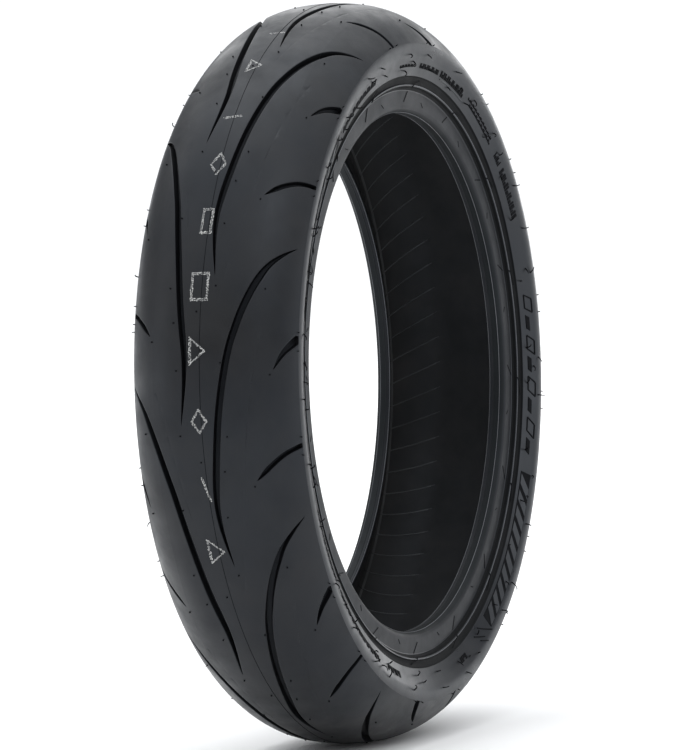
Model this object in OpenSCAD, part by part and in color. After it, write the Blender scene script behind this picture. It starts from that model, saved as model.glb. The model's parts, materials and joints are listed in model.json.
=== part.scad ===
// A radial motorcycle rear tyre, off its rim, built up from the layers and rings it is made of.
// Millimetres. The axle runs along Y through the origin, and Z is up.
// A cross-section point is [distance from the middle plane, radius from the axle].

/* [Size] */
// Radius at the middle of the tread
tyre_r = 312; // [300:1:330]
// Radius of the bead seats, half of the specified 436.6 mm of a 17 inch rim
seat_r = 218.3; // [217.5:0.1:219]

/* [Tread] */
// Cross radius of the middle of the crown
crown_r1 = 151.7; // [120:1:200]
// Cross radius of the crown's flanks
crown_r2 = 71.7; // [68:0.1:78]
// Cross radius of the shoulder face below the tread's edge
face_r = 21; // [18:1:30]
// Angle from the middle plane at which the flanks begin
flank_a = 8; // [4:4:12]
// Angle at which the middle rubber band meets the shoulder bands
band_a = 28; // [20:4:36]
// Angle of the tread's edge
edge_a = 59; // [58:0.5:60]
// Thickness of the grooved tread rubber
cap_t = 7.6; // [6:0.1:9]
// Thickness of the base rubber under it
base_t = 1.3; // [1:0.1:1.6]

/* [Belts] */
// Angle at which the belts end
belt_a = 48; // [40:4:52]
// Thickness of the rubber that the wound belt cord lies in
belt_t = 1.6; // [1.4:0.1:2]
// Diameter of the wound belt cord
cord_d = 0.8; // [0.6:0.1:1]
// Distance from one turn of the belt cord to the next
cord_pitch = 3; // [1.6:0.1:4]
// Thickness of the breaker ply
breaker_t = 0.9; // [0.7:0.1:1.1]

/* [Carcass] */
// Thickness of the airtight liner
liner_t = 0.7; // [0.5:0.1:0.8]
// Thickness of one carcass ply
ply_t = 0.7; // [0.6:0.1:0.8]
// Angle at which the carcass leaves the crown's curve
turn_a = 60; // [60:1:62]
// Inside radius of the carcass's bend under the shoulder
turn_r = 16; // [15:0.5:17]
// Angle from vertical at which the carcass runs down to the bead
lean = 26; // [25:0.5:27]

/* [Bead] */
// Radius from the axle of the middle of the wire bundle
bundle_y = 225.2; // [225:0.1:225.5]
// Radius of the insulated wire bundle
bundle_r = 3.2; // [3:0.1:3.3]
// Diameter of a bead wire
wire_d = 0.9; // [0.7:0.05:0.95]
// Distance between the middles of two bead wires
wire_pitch = 1.15; // [1.1:0.01:1.17]
// Distance from the middle plane of the face that meets the rim flange
face_x = 59.8; // [59.5:0.1:60.5]
// Highest radius of the outer ply's turned-up end
outer_ply_end = 236; // [233:0.5:237]
// Highest radius of the inner ply's turned-up end
inner_ply_end = 239.5; // [238:0.5:240]

/* [Sidewall] */
// Radius of the step below the smooth sidewall
step_r = 249.1; // [248:0.1:250]
// Radius of the rim line, the raised ring above the flange
rim_line_r = 240.7; // [240:0.1:241]
// How far the sidewall below the step lies behind the smooth sidewall
step_t = 1.1; // [0.6:0.1:1.3]

/* [Hidden] */
$fn = 96;

left = 1;
right = -1;
crown_step = 4;
edge_steps = 3;
turn_steps = 7;
cushion_steps = 3;
bead_steps = 15;
top_steps = 10;

// Depths of the layer boundaries below the tread surface, in the crown
base_d = cap_t + base_t;
belt_d = base_d + belt_t;
ply_d = belt_d + breaker_t;
crown_t = ply_d + 2 * ply_t + liner_t;

// Heights of the layer boundaries above the liner's inner face
liner_h = liner_t;
inner_h = liner_h + ply_t;
outer_h = inner_h + ply_t;

// Middles of the cross-section's arcs
flank_c = [(crown_r1 - crown_r2) * sin(flank_a),
    tyre_r - crown_r1 + (crown_r1 - crown_r2) * cos(flank_a)];
turn_c = flank_c + (crown_r2 - crown_t - turn_r) * [sin(turn_a), cos(turn_a)];

// The bead's wire bundle: the carcass leans down to it, goes round under it and up again
lean_a = 90 + lean;
up_a = -90;
bead_r = bundle_r + outer_h;
lean_start = turn_c + turn_r * [sin(lean_a), cos(lean_a)];
lean_drop = lean_start[1] - bundle_y + bead_r * cos(lean_a);
bundle_c = [lean_start[0] - lean_drop * tan(lean) + bead_r * sin(lean_a), bundle_y];

// The outer sidewall turns a corner at the tread's edge and leans down to the step
shoulder_a = 78;
shoulder_end_a = 112;
shoulder_steps = 4;
wall_lean = 20;

function reversed(list) = [for (i = [len(list) - 1 : -1 : 0]) list[i]];
function other_side(list) = [for (p = list) [-p[0], p[1]]];
function between(from, to, i, steps) = from + (to - from) * i / steps;
function at_angle(a) = [sin(a), cos(a)];

// A point of the crown, at angle a and depth t below the tread surface
function crown(a, t) = a <= flank_a
    ? [0, tyre_r - crown_r1] + (crown_r1 - t) * at_angle(a)
    : flank_c + (crown_r2 - t) * at_angle(a);
function crown_run(from_a, to_a, t) = [for (a = [from_a : crown_step : to_a]) crown(a, t)];
// The crown's last stretch, from the belts' edge to the tread's edge
function crown_edge(t) = [for (i = [1 : edge_steps]) crown(between(belt_a, edge_a, i, edge_steps), t)];

// The carcass below the crown, at height h above the liner's inner face
function turn(i, h) = turn_c + (turn_r + h) * at_angle(between(turn_a, lean_a, i, turn_steps));
function turn_run(from, to, h) = [for (i = [from : to]) turn(i, h)];
// The carcass round the bundle, from its inner side under it to its outer side
function round_bead(a, h) = bundle_c - (bead_r - h) * at_angle(a);
function bead_run(h) = [for (i = [0 : bead_steps]) round_bead(between(lean_a, up_a, i, bead_steps), h)];
// The bundle's own top, from its outer side over to its inner side
function bundle_top() = [for (i = [1 : top_steps - 1])
    round_bead(between(up_a, lean_a - 360, i, top_steps), outer_h)];
function turned_up(h, r) = [round_bead(up_a, h)[0], r];

// From the middle plane down to the start of the bead
function down_line(h) = concat(
    crown_run(0, turn_a - 1, crown_t - h), turn_run(0, turn_steps, h));
// One boundary of a carcass ply, which goes on round the bead to a turned-up end
function ply_line(h, top) = concat(down_line(h), bead_run(h), [turned_up(h, top)]);
function liner_line(h) = concat(down_line(h), [round_bead(lean_a, h)]);

// A layer between two boundaries that cross the whole tyre
function layer(outer, inner) = concat(
    other_side(reversed(outer)), outer, reversed(inner), other_side(inner));

// The carcass's outer face on its way down, at radius r
function leaning(r) = [turn(turn_steps, outer_h)[0] - (turn(turn_steps, outer_h)[1] - r) * tan(lean), r];
filler_tip = leaning(inner_ply_end + 1.5);

// The sidewall's outer face at radius r, raised by h
shoulder_c = crown(edge_a, 0) - face_r * at_angle(shoulder_a);
shoulder_end = shoulder_c + face_r * at_angle(shoulder_end_a);
function wall(r, h) = [shoulder_end[0] - (shoulder_end[1] - r) * tan(wall_lean) + h, r];

// The outer face from the tread's edge over the shoulder, past the step and the rim line
chafer_top = rim_line_r - 4.1;
function sidewall_face() = concat(
    [for (i = [0 : shoulder_steps])
        shoulder_c + face_r * at_angle(between(shoulder_a, shoulder_end_a, i, shoulder_steps))],
    [wall(step_r, 0), wall(step_r - 1, -step_t),
     wall(rim_line_r + 3, -0.6), wall(rim_line_r + 1.6, -0.3),
     wall(rim_line_r + 0.8, 0.9), wall(rim_line_r - 0.8, 0.7),
     wall(rim_line_r - 2.2, -1.6), [face_x, chafer_top]]);

// The bead's base: a rounded heel, the cylinder that seats on the rim, and the toe
toe_x = 46.2;
function bead_base() = [
    [face_x, seat_r + 4.2], [face_x - 0.8, seat_r + 1.6], [face_x - 2, seat_r + 0.4],
    [face_x - 3, seat_r], [toe_x + 1, seat_r], [toe_x, seat_r + 0.8]];

// Turns of the belt cord, an even distance apart along the crown
cord_depth = base_d + belt_t / 2;
middle_run = (crown_r1 - cord_depth) * flank_a * PI / 180;
flank_run = (crown_r2 - cord_depth) * (belt_a - flank_a) * PI / 180;
cord_turns = floor((middle_run + flank_run - cord_d) / cord_pitch);
function cord_a(s) = s < middle_run
    ? s / middle_run * flank_a
    : flank_a + (s - middle_run) / flank_run * (belt_a - flank_a);
function cord_point(i) = let (p = crown(cord_a(abs(i) * cord_pitch), cord_depth))
    [sign(i) * p[0], p[1]];

// A cross-section is drawn with its radius along x, and turned about the axle
function flat(points) = [for (p = points) [p[1], p[0]]];
function on_side(side, points) = [for (p = points) [side * p[0], p[1]]];
module spin() rotate([-90, 0, 0]) rotate_extrude() children();
module dot(p, d, sides) translate([p[1], p[0]]) circle(d = d, $fn = sides);
module cord_dots() for (i = [-cord_turns : cord_turns]) dot(cord_point(i), cord_d, 6);
// Wires in rows of three, four, five, four and three
module wire_dots(side) for (row = [-2 : 2])
    for (i = [0 : 4 - abs(row)])
        dot([side * (bundle_c[0] + (i - 2 + abs(row) / 2) * wire_pitch),
            bundle_y + row * wire_pitch * sin(60)], wire_d, 8);

module tread_center() color([0.16, 0.16, 0.17])
    spin() polygon(flat(layer(crown_run(0, band_a, 0), crown_run(0, band_a, cap_t))));

module tread_shoulder(side) color([0.19, 0.19, 0.2])
    spin() polygon(flat(on_side(side, concat(
        crown_run(band_a, belt_a, 0), crown_edge(0),
        reversed(crown_edge(cap_t)), reversed(crown_run(band_a, belt_a, cap_t))))));

module tread_base() color([0.26, 0.25, 0.25])
    spin() polygon(flat(layer(
        concat(crown_run(0, belt_a, cap_t), crown_edge(cap_t)),
        concat(crown_run(0, belt_a, base_d), crown_edge(base_d)))));

module belt_cord() color([0.85, 0.7, 0.3])
    spin() cord_dots();

module belt_rubber() color([0.33, 0.28, 0.24])
    spin() difference() {
        polygon(flat(layer(crown_run(0, belt_a, base_d), crown_run(0, belt_a, belt_d))));
        cord_dots();
    }

module breaker_ply() color([0.55, 0.45, 0.3])
    spin() polygon(flat(layer(crown_run(0, belt_a, belt_d), crown_run(0, belt_a, ply_d))));

// The wedge of soft rubber between the belts' edge, the carcass and the sidewall
module belt_edge_cushion(side) color([0.4, 0.33, 0.3])
    spin() polygon(flat(on_side(side, concat(
        [crown(belt_a, base_d)], crown_edge(base_d),
        reversed(turn_run(0, cushion_steps, outer_h)),
        reversed(crown_run(belt_a, turn_a - 1, ply_d))))));

module carcass_ply_outer() color([0.72, 0.62, 0.45])
    spin() polygon(flat(layer(ply_line(outer_h, outer_ply_end), ply_line(inner_h, outer_ply_end))));

module carcass_ply_inner() color([0.66, 0.56, 0.4])
    spin() polygon(flat(layer(ply_line(inner_h, inner_ply_end), ply_line(liner_h, inner_ply_end))));

module inner_liner() color([0.1, 0.1, 0.11])
    spin() polygon(flat(layer(liner_line(liner_h), liner_line(0))));

module sidewall(side) color([0.17, 0.17, 0.18])
    spin() polygon(flat(on_side(side, concat(
        sidewall_face(),
        [turned_up(liner_h, chafer_top), turned_up(liner_h, inner_ply_end),
         turned_up(inner_h, inner_ply_end), filler_tip],
        reversed(turn_run(cushion_steps, turn_steps, outer_h)),
        [crown(edge_a, base_d), crown(edge_a, cap_t)]))));

module bead_wires(side) color([0.75, 0.68, 0.5])
    spin() wire_dots(side);

module bead_insulation(side) color([0.2, 0.17, 0.16])
    spin() difference() {
        polygon(flat(on_side(side, concat(bead_run(outer_h), bundle_top()))));
        wire_dots(side);
    }

// The hard rubber wedge that stands on the bundle, inside the turned-up plies
module bead_filler(side) color([0.3, 0.24, 0.2])
    spin() polygon(flat(on_side(side, concat(
        [turned_up(outer_h, outer_ply_end), turned_up(inner_h, outer_ply_end),
         turned_up(inner_h, inner_ply_end), filler_tip, round_bead(lean_a, outer_h)],
        reversed(bundle_top()),
        [round_bead(up_a, outer_h)]))));

// Hard rubber that rubs on the rim: the toe, seat, heel and flange face
module chafer(side) color([0.14, 0.14, 0.15])
    spin() polygon(flat(on_side(side, concat(
        [[face_x, chafer_top]], bead_base(), [round_bead(lean_a, 0)],
        bead_run(liner_h), [turned_up(liner_h, chafer_top)]))));

tread_center();
tread_shoulder(left);  // tread_shoulder_left
tread_shoulder(right);  // tread_shoulder_right
tread_base();
belt_cord();
belt_rubber();
breaker_ply();
belt_edge_cushion(left);  // belt_edge_cushion_left
belt_edge_cushion(right);  // belt_edge_cushion_right
carcass_ply_outer();
carcass_ply_inner();
inner_liner();
sidewall(left);  // sidewall_left
sidewall(right);  // sidewall_right
bead_wires(left);  // bead_wires_left
bead_wires(right);  // bead_wires_right
bead_insulation(left);  // bead_insulation_left
bead_insulation(right);  // bead_insulation_right
bead_filler(left);  // bead_filler_left
bead_filler(right);  // bead_filler_right
chafer(left);  // chafer_left
chafer(right);  // chafer_right
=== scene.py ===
"""The looks of a motorcycle rear tyre that stands on a pale floor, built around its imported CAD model.

A place on the tyre is given by how far it lies from the middle plane, measured along the tread (s), by
its angle round the axle (phi, in degrees, 90 at the top), and by its depth below the surface. The right
side is towards -Y. Lengths are in millimetres until a mesh is made.
"""
import json
import math

import bmesh
import bpy
import numpy as np
from mathutils import Matrix, Vector
from mathutils.geometry import delaunay_2d_cdt

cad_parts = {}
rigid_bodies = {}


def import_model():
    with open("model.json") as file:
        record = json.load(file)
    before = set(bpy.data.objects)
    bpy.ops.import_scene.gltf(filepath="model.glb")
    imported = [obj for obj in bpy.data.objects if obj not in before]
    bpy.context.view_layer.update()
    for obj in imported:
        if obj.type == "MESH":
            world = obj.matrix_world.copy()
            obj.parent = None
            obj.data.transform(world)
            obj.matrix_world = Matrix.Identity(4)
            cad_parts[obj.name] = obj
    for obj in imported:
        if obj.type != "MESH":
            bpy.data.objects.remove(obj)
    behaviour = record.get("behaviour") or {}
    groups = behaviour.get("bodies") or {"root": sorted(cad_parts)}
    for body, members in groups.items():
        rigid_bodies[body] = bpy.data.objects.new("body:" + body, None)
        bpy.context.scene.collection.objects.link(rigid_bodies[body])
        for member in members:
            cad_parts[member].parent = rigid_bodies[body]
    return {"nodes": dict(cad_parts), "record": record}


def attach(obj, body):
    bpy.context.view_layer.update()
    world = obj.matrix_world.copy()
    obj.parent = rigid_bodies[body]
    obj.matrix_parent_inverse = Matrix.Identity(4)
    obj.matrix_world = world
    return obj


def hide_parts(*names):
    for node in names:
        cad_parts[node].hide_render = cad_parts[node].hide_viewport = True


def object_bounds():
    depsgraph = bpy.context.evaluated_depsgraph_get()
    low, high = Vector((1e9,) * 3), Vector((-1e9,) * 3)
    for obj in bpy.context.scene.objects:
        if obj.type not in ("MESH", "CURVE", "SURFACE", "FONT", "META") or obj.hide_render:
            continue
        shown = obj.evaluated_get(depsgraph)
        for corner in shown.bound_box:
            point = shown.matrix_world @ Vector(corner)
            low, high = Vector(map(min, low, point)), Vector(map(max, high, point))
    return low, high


for leftover in list(bpy.data.objects):
    bpy.data.objects.remove(leftover)
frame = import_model()
CAD_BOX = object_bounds()
MM = 0.001
SIDES = [(-1, "right"), (1, "left")]

# ---- cross-section, as in the CAD model
TYRE_R = CAD_BOX[1].z / MM
SEAT_R = frame["record"]["mounts"][0]["dims"]["r_mm"]
CROWN_R1 = 151.7
CROWN_R2 = 71.7
FLANK_A = 8
BAND_A = 28
EDGE_A = 59
CAP_T = 7.6
BASE_T = 1.3
CROWN_T = 13.5
SHOULDER_A = 78
SHOULDER_END_A = 112
FACE_R = 21
WALL_LEAN = 20
TURN_A = 60
TURN_R = 16
LEAN_A = 116
STEP_R = 249.1
RIM_LINE_R = 240.7
FACE_X = 59.8
CHAFER_TOP = RIM_LINE_R - 4.1
TOE_X = 46.2


def rad(degrees):
    return degrees * math.pi / 180


def at_angle(a):
    """Direction at angle a from the radius, in a cross-section of (distance from the middle, radius)."""
    return np.array([math.sin(rad(a)), math.cos(rad(a))])


FLANK_C = np.array([0, TYRE_R - CROWN_R1]) + (CROWN_R1 - CROWN_R2) * at_angle(FLANK_A)


def crown(a, t):
    """A point of the crown's cross-section at angle a and depth t."""
    if a <= FLANK_A:
        return np.array([0, TYRE_R - CROWN_R1]) + (CROWN_R1 - t) * at_angle(a)
    return FLANK_C + (CROWN_R2 - t) * at_angle(a)


MIDDLE_S = CROWN_R1 * rad(FLANK_A)
BAND_S = MIDDLE_S + CROWN_R2 * rad(BAND_A - FLANK_A)
EDGE_S = MIDDLE_S + CROWN_R2 * rad(EDGE_A - FLANK_A)
EDGE = crown(EDGE_A, 0)
SHOULDER_C = EDGE - FACE_R * at_angle(SHOULDER_A)
SHOULDER_END = SHOULDER_C + FACE_R * at_angle(SHOULDER_END_A)
TURN_C = FLANK_C + (CROWN_R2 - CROWN_T - TURN_R) * at_angle(TURN_A)


def wall_x(r):
    """The smooth sidewall's distance from the middle plane at radius r."""
    return SHOULDER_END[0] - (SHOULDER_END[1] - r) * math.tan(rad(WALL_LEAN))


def tread_points(s, phi, depth):
    """Places on the tread in metres, from arrays of s, phi and depth. Positive s is on the right side."""
    away = np.abs(s)
    on_flank = away > MIDDLE_S
    a = np.where(on_flank, rad(FLANK_A) + (away - MIDDLE_S) / CROWN_R2, away / CROWN_R1)
    cross_r = np.where(on_flank, CROWN_R2, CROWN_R1) - depth
    x = np.where(on_flank, FLANK_C[0], 0) + cross_r * np.sin(a)
    r = np.where(on_flank, FLANK_C[1], TYRE_R - CROWN_R1) + cross_r * np.cos(a)
    y = -np.sign(s) * x
    turn = np.radians(phi)
    return np.stack([r * np.cos(turn), y, r * np.sin(turn)], axis=1) * MM


# ---- mesh helpers
WELD = 0.004
SMOOTHING = 40
CURVE_STEPS = 12


def in_scene(name, data):
    """A new object that shows in the scene."""
    made = bpy.data.objects.new(name, data)
    bpy.context.scene.collection.objects.link(made)
    return made


def new_object(name, points, faces, sharp=SMOOTHING, weld=0):
    """A closed piece that rides on the tyre, with smooth faces and sharp edges past an angle."""
    mesh = bpy.data.meshes.new(name)
    mesh.from_pydata([tuple(p) for p in points], [], faces)
    mesh.validate()
    form = bmesh.new()
    form.from_mesh(mesh)
    if weld:
        bmesh.ops.remove_doubles(form, verts=form.verts, dist=weld)
        bmesh.ops.dissolve_degenerate(form, edges=form.edges, dist=weld / 4)
    bmesh.ops.recalc_face_normals(form, faces=form.faces)
    form.to_mesh(mesh)
    form.free()
    mesh.shade_smooth()
    mesh.set_sharp_from_angle(angle=rad(sharp))
    piece = in_scene(name, mesh)
    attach(piece, "root")
    return piece


def hoop_faces(steps, count):
    """Faces between cross-sections of count points each, all the way round."""
    faces = []
    for k in range(steps):
        here, there = k * count, (k + 1) % steps * count
        for i in range(count):
            j = (i + 1) % count
            faces.append((here + i, here + j, there + j, there + i))
    return faces


def open_faces(steps, count):
    """The same, but not between the last cross-section and the first."""
    return hoop_faces(steps, count)[:(steps - 1) * count]


def tube_faces(steps, count):
    """The same, but closed at both ends."""
    last = (steps - 1) * count
    return [tuple(range(count))[::-1], tuple(range(last, last + count))] + open_faces(steps, count)


def after(points, faces):
    """The same faces, for points that come after the ones in these lists."""
    total = sum(map(len, points))
    return [tuple(int(v) + total for v in face) for face in faces]


def polygon_holds(polygon, points):
    """Whether each point lies inside a closed outline."""
    x, y = points[:, 0], points[:, 1]
    inside = np.zeros(len(points), bool)
    for a, b in zip(polygon, np.roll(polygon, -1, axis=0)):
        crosses = (a[1] > y) != (b[1] > y)
        if crosses.any():
            at = a[0] + (y - a[1]) * (b[0] - a[0]) / (b[1] - a[1] if b[1] != a[1] else 1)
            inside ^= crosses & (x < at)
    return inside


def lengths(points):
    """How far along a polyline each of its points lies."""
    return np.concatenate([[0], np.cumsum(np.linalg.norm(np.diff(points, axis=0), axis=1))])


def unit(vectors):
    return vectors / np.linalg.norm(vectors, axis=1)[:, None]


def resample(points, step):
    """Points an even distance apart along a polyline, its ends included."""
    points = np.asarray(points, float)
    along = lengths(points)
    count = max(2, int(round(along[-1] / step)) + 1)
    at = np.linspace(0, along[-1], count)
    return np.stack([np.interp(at, along, points[:, k]) for k in range(points.shape[1])], axis=1)


def smooth_line(points, step):
    """An evenly sampled Catmull-Rom curve through the points."""
    p = np.asarray(points, float)
    p = np.vstack([2 * p[0] - p[1], p, 2 * p[-1] - p[-2]])
    curve = []
    for i in range(1, len(p) - 2):
        for t in np.linspace(0, 1, CURVE_STEPS, endpoint=False):
            curve.append(0.5 * (2 * p[i] + (p[i + 1] - p[i - 1]) * t
                                + (2 * p[i - 1] - 5 * p[i] + 4 * p[i + 1] - p[i + 2]) * t * t
                                + (3 * p[i] - p[i - 1] - 3 * p[i + 1] + p[i + 2]) * t ** 3))
    curve.append(p[-2])
    return resample(curve, step)


# ---- tread pattern
PITCHES = 8
PITCH = 360 / PITCHES
DEG_MM = TYRE_R * rad(1)
PATTERN_MID = -3.4
FAR_SHIFT = -22.5
PHASE = 160.7
LAND_STEP = 3.5
LAND_CLEAR = 2.1
FLOOR_STEP = 8
FLOOR_CLEAR = 5
# Rows of a staggered grid lie this share of a step apart
ROW_SHARE = 0.87

# Each groove is a line of (s, phi) from the pattern's middle, and tapers over a length at either end.
LONG_GROOVE = dict(
    line=[(81.2, -51.0), (69.2, -49.3), (57.5, -47.1), (48.3, -44.2), (40.4, -40.9), (34.0, -37.5),
          (27.5, -33.2), (20.1, -25.6), (13.9, -16.9), (10.7, -12.2), (9.7, -9.3), (10.7, -5.5), (14.4, 0)],
    width=6.0, depth=5.8, taper=(45, 75), open_end=False)
MIDDLE_SLIT = dict(
    line=[(90, -18.0), (85, -17.9), (72, -17.2), (58.8, -15.7), (45.7, -13.6)],
    width=4.4, depth=5.2, taper=(0, 12), open_end=True)
SHORT_SLIT = dict(
    line=[(90, -36.2), (85, -35.4), (74, -33.4), (65, -30.7)],
    width=7.4, depth=5.0, taper=(0, 30), open_end=True)
GROOVES = [LONG_GROOVE, MIDDLE_SLIT, SHORT_SLIT]

GROOVE_STEP = 2.6
TAPER_POWER = 0.75
END_DEPTH = 0.3
# Where half the width is less than this, the walls close up too, down to the least share
NARROW_HALF = 1.6
LEAST_SHARE = 0.12

# Cross-section of a groove, from the land to the middle of its floor: how far outside the groove's
# edge, and which share of the depth
GROOVE_RINGS = [(1.3, 0), (0.45, 0), (0.22, 0.012), (0.06, 0.04), (0, 0.085),
                (-0.3, 0.8), (-0.45, 0.9), (-0.8, 0.97), (-1.4, 1)]

# A line between two neighbouring pitches that meets no groove
SEAM = [(95, -43), (74, -42), (65, -40), (57, -38), (48, -30), (40, -20), (33, -10), (25, -3), (17, 5),
        (9, 5), (3, 2), (-9, -4), (-15, -8), (-20, -14), (-27, -20), (-34, -25), (-40, -28), (-48, -29),
        (-57, -31), (-69, -33), (-81, -34.3), (-91, -35)]


def on_tile(points):
    """From (s from the pattern's middle, phi) to (s, arc length)."""
    return (np.asarray(points, float) + [PATTERN_MID, 0]) * [1, DEG_MM]


def other_half(points):
    """The same line on the other side of the pattern, half a pitch on."""
    return np.asarray(points, float) * [-1, 1] + [0, FAR_SHIFT] + [0, PITCH]


def groove_rings(groove, line):
    """The outlines of a groove at each step of its cross-section, as arrays of (s, arc, depth)."""
    line = smooth_line(line, GROOVE_STEP)
    tangent = unit(np.gradient(line, axis=0))
    normal = np.stack([-tangent[:, 1], tangent[:, 0]], axis=1)
    length = lengths(line)
    start, end = groove["taper"]
    share = np.ones(len(line))
    if start:
        share = np.minimum(share, (length / start).clip(0, 1) ** TAPER_POWER)
    share = np.minimum(share, ((length[-1] - length) / end).clip(0, 1) ** TAPER_POWER)
    half = groove["width"] / 2 * share
    depth = groove["depth"] * (END_DEPTH + (1 - END_DEPTH) * np.sin(share * math.pi / 2))
    narrow = (half / NARROW_HALF).clip(LEAST_SHARE, 1)
    order = np.r_[:len(line), len(line) - 2:0:-1]
    rings = []
    for spread, sink in GROOVE_RINGS:
        out = spread * (np.ones(len(line)) if spread > 0 else narrow)
        reach = np.maximum(half + out, half * LEAST_SHARE)
        left = line + normal * reach[:, None]
        right = line - normal * reach[:, None]
        first = line[0] - tangent[0] * out[0]
        last = line[-1] + tangent[-1] * out[-1]
        loop = np.vstack([[first], left[1:-1], [last], right[-2:0:-1]])
        rings.append(np.column_stack([loop, depth[order] * sink]))
    return rings


def groove_faces(rings, count):
    """Faces between a groove's outlines and across its floor; count points in each outline."""
    faces = open_faces(rings, count)
    floor = (rings - 1) * count
    for i in range(count // 2):
        near = (floor + i, floor + i + 1)
        far = (floor + (count - i - 1) % count, floor + (count - i) % count)
        faces.append(tuple(dict.fromkeys(near + far)))
    return faces


def tile_lines():
    """The lines of all grooves of one pitch, on both sides, as (groove, points on the tile)."""
    lines = []
    for groove in GROOVES:
        near = np.asarray(groove["line"]) + [0, 0 if groove["open_end"] else PITCH]
        lines.append((groove, on_tile(near)))
        lines.append((groove, on_tile(other_half(groove["line"]))))
    return lines


def seam_line(step):
    """The seam's points, with one exactly on each band's border."""
    line = smooth_line(on_tile(SEAM), 1)[::-1]
    stops = [line[0, 0], -EDGE_S, -BAND_S, BAND_S, EDGE_S, line[-1, 0]]
    at = []
    for low, high in zip(stops, stops[1:]):
        count = max(1, int(round((high - low) / step)))
        at += [low + (high - low) * i / count for i in range(count)]
    at.append(stops[-1])
    return np.stack([at, np.interp(at, line[:, 0], line[:, 1])], axis=1)


def fill(loops, lines, inner):
    """Triangles inside the first loop and outside the others. All points are (s, arc)."""
    points = []
    edges = []
    for line, closed in [(loop, 1) for loop in loops] + [(line, 0) for line in lines]:
        start, count = len(points), len(line)
        points += [tuple(p) for p in line]
        edges += [(start + i, start + (i + 1) % count) for i in range(count - 1 + closed)]
    points += [tuple(p) for p in inner]
    found = delaunay_2d_cdt([Vector(p) for p in points], edges, [], 0, 1e-4, False)
    places = np.array([tuple(p) for p in found[0]])
    faces = np.array([tuple(f) for f in found[2]])
    middle = places[faces].mean(axis=1)
    keep = polygon_holds(np.asarray(loops[0]), middle)
    for hole in loops[1:]:
        keep &= ~polygon_holds(hole, middle)
    return places, faces[keep]


def spread_points(loop, step, clear, obstacles):
    """A staggered grid of points inside a loop, clear of the obstacles' points."""
    at_once = 400
    low, high = loop.min(axis=0), loop.max(axis=0)
    rows = np.arange(low[1], high[1], step * ROW_SHARE)
    grid = np.array([(x + step / 2 * (i % 2), y) for i, y in enumerate(rows)
                     for x in np.arange(low[0], high[0], step)])
    grid = grid[polygon_holds(loop, grid)]
    for start in range(0, len(obstacles), at_once):
        part = obstacles[start:start + at_once]
        gap = np.linalg.norm(grid[:, None] - part[None], axis=2).min(axis=1)
        grid = grid[gap > clear]
    return grid


def tread_tile():
    """One pitch of the tread's surface: points (s, arc, depth) and faces."""
    seam = seam_line(LAND_STEP)
    step = np.array([0, PITCH * DEG_MM])
    far_seam = seam + step
    ends = [resample([a, b], LAND_STEP)[1:-1] for a, b in
            ((seam[-1], far_seam[-1]), (far_seam[0], seam[0]))]
    outline = np.vstack([seam, ends[0], far_seam[::-1], ends[1]])
    borders = []
    for s in (-EDGE_S, -BAND_S, BAND_S, EDGE_S):
        arc = np.interp(s, seam[:, 0], seam[:, 1])
        borders.append(resample([(s, arc), (s, arc + step[1])], LAND_STEP))
    points, faces, holes = [], [], []
    for groove, line in tile_lines():
        rings = groove_rings(groove, line)
        faces += after(points, groove_faces(len(rings), len(rings[0])))
        points += rings
        holes.append(rings[0][:, :2])
    clear = np.vstack([outline] + borders + holes)
    inner = spread_points(outline, LAND_STEP, LAND_CLEAR, clear)
    land, land_faces = fill([outline] + holes, borders, inner)
    faces += after(points, land_faces)
    points.append(np.column_stack([land, np.zeros(len(land))]))
    return np.vstack(points), faces


def clipped(points, faces, planes):
    """The faces cut along planes of constant s, and without what lies outside the outer two."""
    mesh = bpy.data.meshes.new("tile")
    mesh.from_pydata([(p[0], p[1], -p[2]) for p in points], [], faces)
    form = bmesh.new()
    form.from_mesh(mesh)
    bmesh.ops.remove_doubles(form, verts=form.verts, dist=WELD)
    for s in planes:
        bmesh.ops.bisect_plane(form, geom=form.verts[:] + form.edges[:] + form.faces[:], dist=WELD / 2,
                               plane_co=(s, 0, 0), plane_no=(1, 0, 0),
                               clear_outer=s == max(planes), clear_inner=s == min(planes))
    places = np.array([(v.co.x, v.co.y, -v.co.z) for v in form.verts])
    form.verts.index_update()
    loops = [tuple(v.index for v in f.verts) for f in form.faces]
    form.free()
    bpy.data.meshes.remove(mesh)
    return places, loops


def closed_band(places, loops, low, high):
    """One rubber band of the tile between two values of s, with its two border walls and its floor."""
    picked = [f for f in loops if low < places[list(f), 0].mean() < high]
    used = sorted({v for f in picked for v in f})
    index = {v: i for i, v in enumerate(used)}
    top = places[used]
    faces = [tuple(index[v] for v in f) for f in picked]
    points = [top]
    sides = []
    for s in (low, high):
        edge = np.where(np.abs(top[:, 0] - s) < 0.75 * WELD)[0]
        edge = edge[np.argsort(top[edge, 1])]
        total = sum(map(len, points))
        faces += [(int(edge[i]), int(edge[i + 1]), total + i + 1, total + i) for i in range(len(edge) - 1)]
        sides.append(top[edge, :2])
        points.append(np.column_stack([sides[-1], np.full(len(edge), CAP_T)]))
    seam = seam_line(LAND_STEP)
    seam = seam[(seam[:, 0] > low + 2.5 * WELD) & (seam[:, 0] < high - 2.5 * WELD)]
    outline = np.vstack([sides[0][::-1], seam, sides[1], (seam + [0, PITCH * DEG_MM])[::-1]])
    under, under_faces = fill([outline], [], spread_points(outline, FLOOR_STEP, FLOOR_CLEAR, outline))
    faces += after(points, under_faces)
    points.append(np.column_stack([under, np.full(len(under), CAP_T)]))
    return np.vstack(points), faces


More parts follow.
